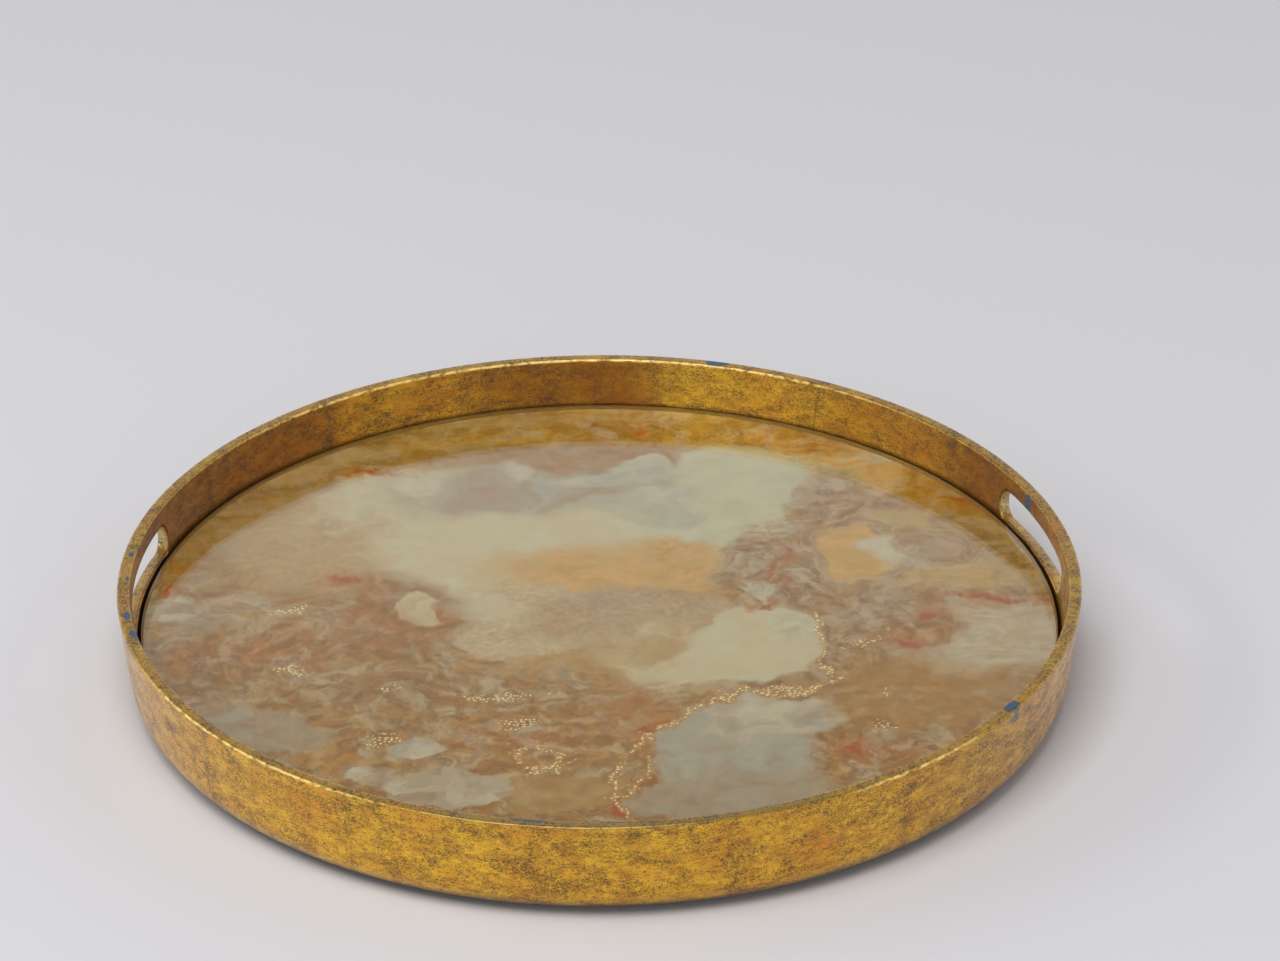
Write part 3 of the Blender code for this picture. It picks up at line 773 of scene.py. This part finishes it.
# %% Onyx: islands, strokes and glitter, in millimetres
ISLANDS = (
    (0, 222, 250, 46, 0, 0.15, "ochre", "tan", "streak", 0.6),
    (-20, 238, 60, 10, 0, 0.5, "straw", "ochre", "streak", 0.3),
    (60, 214, 60, 12, -4, 0.5, "tan", "brown", "streak", 0.7),
    (40, 219, 15, 6, 22, 0.4, "brown", "pink", "streak", 0.8),
    (-60, 208, 60, 8, 6, 0.5, "amber", "ochre", "streak", 0.5),
    (-165, 165, 75, 42, 42, 0.25, "olive", "brown", "streak", 0.4),
    (-208, 112, 50, 30, 58, 0.25, "olive", "sand", "streak", 0.3),
    (-140, 188, 42, 9, 25, 0.5, "straw", "sand", "streak", 0.3),
    (-185, 128, 70, 7, 45, 0.5, "ochre", "olive", "streak", 0.3),
    (148, 165, 40, 28, -38, 0.2, "peach", "cream", "streak", 0.25),
    (128, 193, 30, 13, -20, 0.4, "orange", "peach", "streak", 0.6),
    (205, 118, 44, 17, -52, 0.3, "yellow", "ochre", "streak", 0.4),
    (190, 96, 36, 12, -12, 0.35, "straw", "amber", "streak", 0.2),
    (214, 70, 36, 16, -70, 0.35, "sand", "olive", "streak", 0.4),
    (-150, 88, 66, 52, -10, 0.3, "pink", "sand", "streak", 0.35),
    (-138, 104, 60, 44, 20, 0.4, "sand", "beige", "grain", 0.2),
    (-105, 138, 48, 24, 14, 0.4, "warm_cream", "sand", "streak", 0.3),
    (-88, 152, 54, 30, 8, 0.3, "warm_cream", "cream", "cloud", 0.15),
    (-46, 80, 74, 56, -8, 0.22, "warm_cream", "cream", "cloud", 0.06),
    (16, 96, 84, 54, 0, 0.25, "cream", "warm_cream", "cloud", 0.06),
    (-25, 152, 78, 24, 2, 0.5, "grey_lilac", "lilac", "cloud", 0.12),
    (-60, 146, 20, 13, 0, 0.6, "grey", "lilac", "cloud", 0.12),
    (0, 190, 110, 14, 1, 0.3, "pink", "tan", "streak", 0.5),
    (88, 146, 38, 48, 18, 0.12, "green_cream", "cream", "cloud", 0.05),
    (72, 108, 46, 34, 25, 0.14, "green_cream", "cream", "cloud", 0.06),
    (36, 174, 15, 16, 12, 0.12, "white", "grey_lilac", "cloud", 0.12),
    (20, 162, 30, 9, 0, 0.3, "white", "grey_lilac", "cloud", 0.12),
    (-32, 173, 12, 9, 0, 0.2, "white", "lilac", "cloud", 0.2),
    (-94, 160, 10, 9, 20, 0.4, "white", "cream", "cloud", 0.2),
    (36, 134, 30, 11, 6, 0.3, "white", "grey_lilac", "cloud", 0.10),
    (44, 116, 26, 12, -4, 0.35, "grey_lilac", "green_cream", "cloud", 0.10),
    (8, 54, 58, 24, -6, 0.55, "amber", "peach", "streak", 0.2),
    (40, 76, 22, 13, -20, 0.5, "amber", "peach", "streak", 0.35),
    (56, 44, 12, 26, 8, 0.5, "peach", "amber", "streak", 0.3),
    (138, 126, 20, 32, -14, 0.25, "mauve", "pink", "speck", 0.9),
    (108, 54, 38, 40, -24, 0.12, "mauve", "brown", "speck", 0.9),
    (106, 92, 14, 12, 0, 0.3, "warm_cream", "lilac", "speck", 0.5),
    (80, 48, 13, 8, 25, 0.2, "white", "mauve", "facet", 0.6),
    (88, 28, 8, 12, 20, 0.2, "white", "mauve", "facet", 0.6),
    (112, 68, 9, 8, 0, 0.3, "lilac", "mauve", "speck", 0.8),
    (146, 6, 30, 30, 0, 0.3, "mauve", "lilac", "speck", 0.8),
    (192, 34, 46, 16, -4, 0.3, "straw", "amber", "streak", 0.4),
    (176, 47, 50, 4, 16, 0.35, "grey_lilac", "straw", "streak", 0.3),
    (150, 64, 30, 36, -12, 0.12, "mauve", "lilac", "streak", 0.4),
    (148, 64, 21, 31, -10, 0.14, "amber", "peach", "cloud", 0.10),
    (168, 62, 12, 17, -20, 0.4, "white", "cream", "cloud", 0.10),
    (193, 64, 21, 17, 0, 0.25, "mauve", "lilac", "speck", 0.5),
    (193, 64, 9, 8, 0, 0.3, "sand", "lilac", "speck", 0.3),
    (-35, 2, 42, 42, 10, 0.12, "beige", "warm_cream", "grain", 0.3),
    (-62, 22, 16, 14, 0, 0.4, "warm_cream", "white", "cloud", 0.2),
    (14, 4, 50, 30, 6, 0.25, "beige", "lilac", "grain", 0.35),
    (-15, -44, 58, 10, 4, 0.5, "ochre", "sand", "streak", 0.3),
    (38, -40, 40, 38, 15, 0.4, "sand", "warm_cream", "cloud", 0.2),
    (84, -30, 34, 42, -10, 0.10, "cream", "warm_cream", "cloud", 0.05),
    (68, -48, 40, 26, 6, 0.2, "warm_cream", "cream", "cloud", 0.05),
    (104, -16, 12, 18, 14, 0.3, "white", "cream", "cloud", 0.2),
    (27, -73, 15, 6, 5, 0.12, "white", "beige", "facet", 0.4),
    (8, -96, 16, 34, 10, 0.5, "orange", "tan", "cloud", 0.5),
    (-222, 82, 22, 8, 30, 0.4, "yellow", "olive", "streak", 0.4),
    (-230, 36, 20, 14, 0, 0.25, "low_white", "white", "facet", 0.4),
    (-218, 14, 18, 10, 0, 0.3, "low_white", "lilac", "facet", 0.5),
    (-196, 32, 20, 10, -5, 0.25, "low_white", "beige", "facet", 0.5),
    (-168, 22, 14, 7, 8, 0.3, "beige", "low_white", "facet", 0.6),
    (-136, -2, 8, 10, 0, 0.2, "white", "beige", "facet", 0.4),
    (-110, 12, 34, 40, 8, 0.4, "brown", "orange", "cloud", 0.5),
    (-96, 24, 10, 17, 30, 0.12, "warm_cream", "beige", "cloud", 0.3),
    (-190, -24, 50, 20, 0, 0.4, "brown", "orange", "cloud", 0.7),
    (-212, -48, 22, 12, -12, 0.3, "brown", "mauve", "facet", 0.6),
    (-162, -48, 36, 14, 0, 0.4, "mauve", "tan", "speck", 0.9),
    (-66, -78, 50, 30, -5, 0.4, "mauve", "pink", "speck", 0.9),
    (-118, -66, 27, 18, 0, 0.45, "brown", "mauve", "cloud", 0.7),
    (-52, -120, 40, 26, -5, 0.4, "orange", "pink", "streak", 0.8),
    (-186, -96, 40, 20, -38, 0.2, "low_white", "grey", "facet", 0.3),
    (-146, -134, 26, 12, -40, 0.35, "ochre", "yellow", "streak", 0.5),
    (-104, -123, 16, 10, -12, 0.10, "grey", "white", "cloud", 0.2),
    (-126, -148, 20, 9, -30, 0.2, "low_white", "white", "facet", 0.4),
    (-90, -164, 30, 18, -14, 0.08, "white", "low_white", "facet", 0.2),
    (-34, -174, 28, 18, 0, 0.2, "sand", "tan", "cloud", 0.2),
    (56, -146, 40, 46, 15, 0.08, "grey", "grey_lilac", "cloud", 0.2),
    (84, -108, 38, 22, -6, 0.08, "white", "grey", "cloud", 0.15),
    (50, -184, 50, 24, 8, 0.15, "grey", "low_white", "cloud", 0.2),
    (127, -146, 26, 20, -22, 0.3, "brown", "orange", "cloud", 0.8),
    (138, -134, 10, 7, 30, 0.2, "low_white", "tan", "facet", 0.6),
    (166, -88, 54, 38, 20, 0.35, "tan", "yellow", "streak", 0.3),
    (208, -34, 38, 34, -5, 0.35, "beige", "white", "streak", 0.2),
    (232, -22, 14, 26, 0, 0.4, "white", "beige", "streak", 0.2),
    (173, -23, 20, 15, 0, 0.4, "orange", "brown", "streak", 0.8),
)
RUST_STROKES = (
    (-140, 57, 14, 5, -5), (97, 44, 3, 9, -10), (88, 12, 7, 4, 20), (108, 62, 3, 8, 10),
    (216, 6, 26, 4, -8), (172, -12, 7, 5, 30), (158, -36, 8, 4, 0), (38, 217, 6, 2, 30),
    (-118, 172, 16, 4, 5), (17, -116, 10, 3, 42), (-3, -190, 3, 10, 0),
    (120, -143, 12, 4, 0), (-228, 54, 8, 3, 30), (205, 122, 11, 2, -40),
)
GLITTER_RUNS = (
    (1.6, (118, 0), (117, -30), (115, -55), (113, -72)),
    (2.2, (112, -76), (85, -80), (60, -84), (50, -88)),
    (1.6, (48, -95), (25, -112), (5, -136)),
    (1.6, (-6, -150), (-9, -168), (-2, -185), (0, -196)),
    (1.3, (10, -150), (8, -166), (0, -178)),
    (1.4, (-56, -136), (-55, -147), (-44, -152), (-32, -146), (-36, -133), (-47, -130), (-56, -136)),
)
GLITTER_CLUSTERS = (
    (-117, -68, 5, 4, 0), (-125, -114, 7, 5, 20), (-62, -74, 17, 4, -5), (140, -34, 8, 3, 20),
    (-162, -36, 8, 3, 0), (-166, 24, 8, 3, 0), (142, -92, 3, 5, 0), (-48, -104, 7, 5, 0),
    (138, -128, 5, 4, 0),
)
RINGED = ((194, 64, 24, 22, 0), (150, 68, 31, 35, -12))


def run_ellipses():
    """Each straight stretch of a glitter run as a long ellipse."""
    shapes = []
    for half_width, *corners in GLITTER_RUNS:
        for (x0, y0), (x1, y1) in zip(corners, corners[1:]):
            length = math.hypot(x1 - x0, y1 - y0)
            turn = math.degrees(math.atan2(y1 - y0, x1 - x0))
            shapes.append(((x0 + x1) / 2, (y0 + y1) / 2, length / 2 + half_width * 2, half_width, turn))
    return shapes


print(f"{len(ISLANDS)} islands, {len(RUST_STROKES)} strokes, {len(run_ellipses())} glitter stretches")

# %% [markdown]
# An ellipse is measured by its reach: how far a point lies from its middle, where 1 is its border.
# A round gradient that is moved, turned and stretched falls from 1 in the middle to 0 at a reach of
# 3. The nearest of many ellipses is the highest fall-off, and ragged noise breaks its border up.

# %% Onyx: paint
GRADIENT_REACH = 3
# The size of each noise and its greatest push, in millimetres.
BENDS = ((60, 12), (22, 7), (9, 3), (3.5, 1.2))
GROUND_MOTTLE = 0.8
FACET_MM = 12
MOTTLE_MM = 17
GRAIN_MM = 8
FLAKE_MM = 9
DOT_MM = 2.6
RUST_BREAK_MM = 5
GLITTER_BREAK_MM = 4
GLITTER_MM = 2.4


def ellipse_glow(tree, place, shape):
    """A gradient that falls from 1 in an ellipse's middle to 0 at three times its size."""
    across, back, half_width, half_depth, turn = shape
    glow = add(tree, "TexGradient", {"Vector": place}, 1, gradient_type="SPHERICAL")
    fit = glow.node.texture_mapping
    fit.vector_type = "TEXTURE"
    fit.translation = (across, back, 0)
    fit.rotation = (0, 0, math.radians(turn))
    fit.scale = (half_width * GRADIENT_REACH, half_depth * GRADIENT_REACH, 1)
    return glow


def nearest_reach(tree, place, shapes):
    """The least reach of several ellipses, up to the gradient's end."""
    brightest = 0.0
    for shape in shapes:
        glow = ellipse_glow(tree, place, shape)
        brightest = add(tree, "Math", [brightest, glow], operation="MAXIMUM")
    return add(tree, "Math", [brightest, -GRADIENT_REACH, GRADIENT_REACH], operation="MULTIPLY_ADD")


def bend(tree, place):
    """A place pushed about by noises of several sizes."""
    bent = place
    for size, push in BENDS:
        drift = add(tree, "TexNoise", {"Vector": place, "Scale": 1 / size, "Detail": 1.0}, "Color",
                    noise_dimensions="2D")
        drift = add(tree, "VectorMath", [drift, (0.5, 0.5, 0.5)], operation="SUBTRACT")
        drift = add(tree, "VectorMath", [drift, (2 * push, 2 * push, 0)], operation="MULTIPLY")
        bent = add(tree, "VectorMath", [bent, drift], operation="ADD")
    return bent


def onyx_fields(tree, place, bent):
    """The patterns that mix two paints in an island, each from 0 to 1."""
    long = add(tree, "VectorMath", [bent, (0.3, 1, 1)], operation="MULTIPLY")
    patterns = {
        "cloud": (bent, 22, 5.0, 0.55, 0.36, 0.64),
        "streak": (long, 8, 5.0, 0.6, 0.36, 0.64),
        "speck": (bent, 5.0, 4.0, 0.75, 0.42, 0.60),
        "grain": (place, 4.0, 4.0, 0.7, 0.36, 0.66),
    }
    fields = {}
    for name, (at, size, detail, rough, low, high) in patterns.items():
        field = add(tree, "TexNoise", {
            "Vector": at, "Scale": 1 / size, "Detail": detail, "Roughness": rough},
            noise_dimensions="2D")
        fields[name] = add(tree, "MapRange", [field, low, high])
    facet = add(tree, "TexVoronoi", {"Vector": bent, "Scale": 1 / FACET_MM}, "Color",
                voronoi_dimensions="2D")
    facet = add(tree, "SeparateColor", [facet], "Red")
    fields["facet"] = add(tree, "MapRange", [facet, 0.2, 0.9])
    return fields


def mottled(tree, place, bent, colour, busy):
    """Fine mottling over the islands: patches, grain, flakes, pale lines and pale dots."""
    broad, grain, flake = (
        add(tree, "TexNoise", {"Vector": bent, "Scale": 1 / size, "Detail": detail, "Roughness": rough},
            noise_dimensions="2D")
        for size, detail, rough in ((MOTTLE_MM, 5.0, 0.52), (GRAIN_MM, 6.0, 0.6), (FLAKE_MM, 4.0, 0.6)))
    most = add(tree, "Math", [busy, 0.6], operation="MULTIPLY")
    colour = paint_where(tree, broad, 0.50, 0.64, most, colour, MOTTLE_ORANGE)
    colour = paint_where(tree, broad, 0.48, 0.36, most, colour, MOTTLE_LILAC)
    grain = add(tree, "MapRange", [grain, 0.32, 0.68, -0.28, 0.28])
    grain = add(tree, "Math", [grain, busy, 1.0], operation="MULTIPLY_ADD")
    colour = add(tree, "VectorMath", {0: colour, "Scale": grain}, operation="SCALE")
    for low, high, few, many, paint in (
            (0.54, 0.575, 0.60, 0.40, PALE_FLAKE), (0.46, 0.425, 0.42, 0.60, DARK_FLAKE)):
        most = add(tree, "MapRange", [broad, few, many, 0.1, 0.7])
        most = add(tree, "Math", [most, busy], operation="MULTIPLY")
        colour = paint_where(tree, flake, low, high, most, colour, paint)
    for size, stretch, width, share in ((17, 0.6, 0.018, 0.3), (8, 1.0, 0.022, 0.2)):
        at = add(tree, "VectorMath", [bent, (stretch, 1, 1)], operation="MULTIPLY")
        line = add(tree, "TexNoise", {"Vector": at, "Scale": 1 / size, "Detail": 3.0},
                   noise_dimensions="2D")
        most = add(tree, "Math", [busy, share], operation="MULTIPLY")
        colour = paint_where(tree, apart(tree, line, 0.5), width, 0.0, most, colour, PALE_LINE)
    dots = add(tree, "TexVoronoi", {"Vector": place, "Scale": 1 / DOT_MM}, voronoi_dimensions="2D")
    dots = add(tree, "MapRange", [dots, 0.42, 0.22, 0, 0.32])
    dots = add(tree, "Math", [dots, busy], operation="MULTIPLY")
    return paint_where(tree, broad, 0.52, 0.44, dots, colour, PALE_DOT)


def rusted(tree, bent, colour):
    """Rust strokes, broken up and darker in the middle."""
    broken = add(tree, "TexNoise", {
        "Vector": bent, "Scale": 1 / RUST_BREAK_MM, "Detail": 5.0, "Roughness": 0.7},
        noise_dimensions="2D")
    reach = nearest_reach(tree, bent, RUST_STROKES)
    reach = add(tree, "Math", [broken, 3.0, reach], operation="MULTIPLY_ADD")
    colour = paint_where(tree, reach, 3.1, 2.2, 0.75, colour, RUST)
    return paint_where(tree, reach, 2.35, 1.9, 0.8, colour, DARK_RUST)


def ringed(tree, bent, colour):
    """Fine pale rings round the orb and round the amber lobe."""
    reach = nearest_reach(tree, bent, RINGED)
    wave = add(tree, "Math", [reach, 5.0], operation="MULTIPLY")
    wave = add(tree, "Math", [wave, 0.5], operation="PINGPONG")
    wave = add(tree, "MapRange", [wave, 0.14, 0.04, 0, 0.45])
    wave = add(tree, "MapRange", [reach, 1.12, 1.02, 0, wave])
    return paint_where(tree, reach, 0.35, 0.85, wave, colour, PALE_LINE)


def glittered(tree, place, bent, colour):
    """Gold glitter in runs with a rust bed, and in clusters."""
    broken = add(tree, "TexNoise", {"Vector": place, "Scale": 1 / GLITTER_BREAK_MM, "Detail": 3.0},
                 noise_dimensions="2D")
    runs = nearest_reach(tree, bent, run_ellipses())
    clusters = nearest_reach(tree, bent, GLITTER_CLUSTERS)
    bed = add(tree, "Math", [broken, 3.0, runs], operation="MULTIPLY_ADD")
    colour = paint_where(tree, bed, 3.6, 2.4, 0.5, colour, MOTTLE_ORANGE)
    colour = paint_where(tree, bed, 2.7, 2.1, 0.35, colour, PALE_LINE)
    either = add(tree, "Math", [runs, clusters], operation="MINIMUM")
    either = add(tree, "Math", [broken, 3.2, either], operation="MULTIPLY_ADD")
    grains = add(tree, "TexVoronoi", {"Vector": place, "Scale": 1 / GLITTER_MM},
                 voronoi_dimensions="2D")
    grains = add(tree, "MapRange", [grains, 0.34, 0.20, 0, 0.7])
    return paint_where(tree, either, 3.0, 2.3, grains, colour, GLITTER)


def onyx_layer():
    """An onyx pattern painted behind glass."""
    material, tree = new_material("painted_onyx_behind_glass")
    place = add(tree, "VectorMath", [millimetres(tree), (1, 1, 0)], operation="MULTIPLY")
    bent = bend(tree, place)
    fields = onyx_fields(tree, place, bent)
    ground = paint_over(tree, fields["streak"], ONYX["tan"], ONYX["sand"])
    other = paint_over(tree, fields["speck"], ONYX["brown"], ONYX["mauve"])
    colour = paint_over(tree, fields["cloud"], ground, other)
    busy = GROUND_MOTTLE
    for *shape, edge, first, second, field, mottle in ISLANDS:
        glow = ellipse_glow(tree, bent, shape)
        ends = [1 - (1 + side) / GRADIENT_REACH for side in (edge, -edge)]
        mask = add(tree, "MapRange", [glow, *ends], interpolation_type="SMOOTHSTEP")
        colour = paint_over(tree, mask, colour, ONYX[first])
        both = add(tree, "Math", [mask, fields[field]], operation="MULTIPLY")
        colour = paint_over(tree, both, colour, ONYX[second])
        busy = add(tree, "Mix", {0: mask, 2: busy, 3: mottle})
    colour = mottled(tree, place, bent, colour, busy)
    colour = ringed(tree, bent, colour)
    colour = rusted(tree, bent, colour)
    colour = glittered(tree, place, bent, colour)
    surface = add(tree, "BsdfPrincipled", {
        "Base Color": colour, "Roughness": 0.45, "Specular IOR Level": 0.0})
    add(tree, "OutputMaterial", {"Surface": surface})
    return material


onyx = onyx_layer()
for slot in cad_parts["onyx_layer"].material_slots:
    slot.material = onyx
print(len(onyx.node_tree.nodes), "nodes in the onyx")

# %% [markdown]
# The board is dense fibreboard, stained dark brown and left matte. It shows in the groove round the
# glass and from below.

# %% Board
BOARD_STAIN = "#2e221a"
BOARD_FIBRE = "#3d2e22"
FIBRE_MM = 1.5


def stained_board():
    """Dark stained fibreboard."""
    material, tree = new_material("stained_fibreboard")
    place = millimetres(tree)
    fibres = add(tree, "TexNoise", {"Vector": place, "Scale": 1 / FIBRE_MM, "Detail": 4.0,
                                    "Roughness": 0.7})
    colour = paint_over(tree, fibres, BOARD_STAIN, BOARD_FIBRE)
    bump = add(tree, "Bump", {"Height": fibres, "Strength": 0.3, "Distance": 0.1 * MM})
    surface = add(tree, "BsdfPrincipled", {"Base Color": colour, "Roughness": 0.7, "Normal": bump})
    add(tree, "OutputMaterial", {"Surface": surface})
    return material


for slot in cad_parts["base_board"].material_slots:
    slot.material = stained_board()
print("board stained")

# %% [markdown]
# Four rubber pads keep the foot ring off the table. Each is a moulded disc with a rounded rim.

# %% Pads
PAD_RUBBER = "#191919"
PAD_EDGE_ROUND = 0.35 * MM
PAD_STEPS = 48
PAD_GRAIN_MM = 0.4


def pad_rubber():
    """Matte black rubber."""
    material, tree = new_material("moulded_black_rubber")
    place = millimetres(tree)
    grain = add(tree, "TexNoise", {"Vector": place, "Scale": 1 / PAD_GRAIN_MM, "Detail": 2.0})
    bump = add(tree, "Bump", {"Height": grain, "Strength": 0.2, "Distance": 0.05 * MM})
    surface = add(tree, "BsdfPrincipled", {
        "Base Color": linear(PAD_RUBBER), "Roughness": 0.75, "IOR": 1.52, "Normal": bump})
    add(tree, "OutputMaterial", {"Surface": surface})
    return material


rubber = pad_rubber()
for number in range(1, 5):
    node = f"pad_{number}"
    low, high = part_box(node)
    section = rounded_disc((high.x - low.x) / 2, low.z, high.z, PAD_EDGE_ROUND)
    pad = turned_piece(f"rubber_{node}", section, PAD_STEPS, (low.x + high.x) / 2, (low.y + high.y) / 2)
    pad.data.materials.append(rubber)
    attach(pad, "root")
    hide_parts(node)
print("four pads")
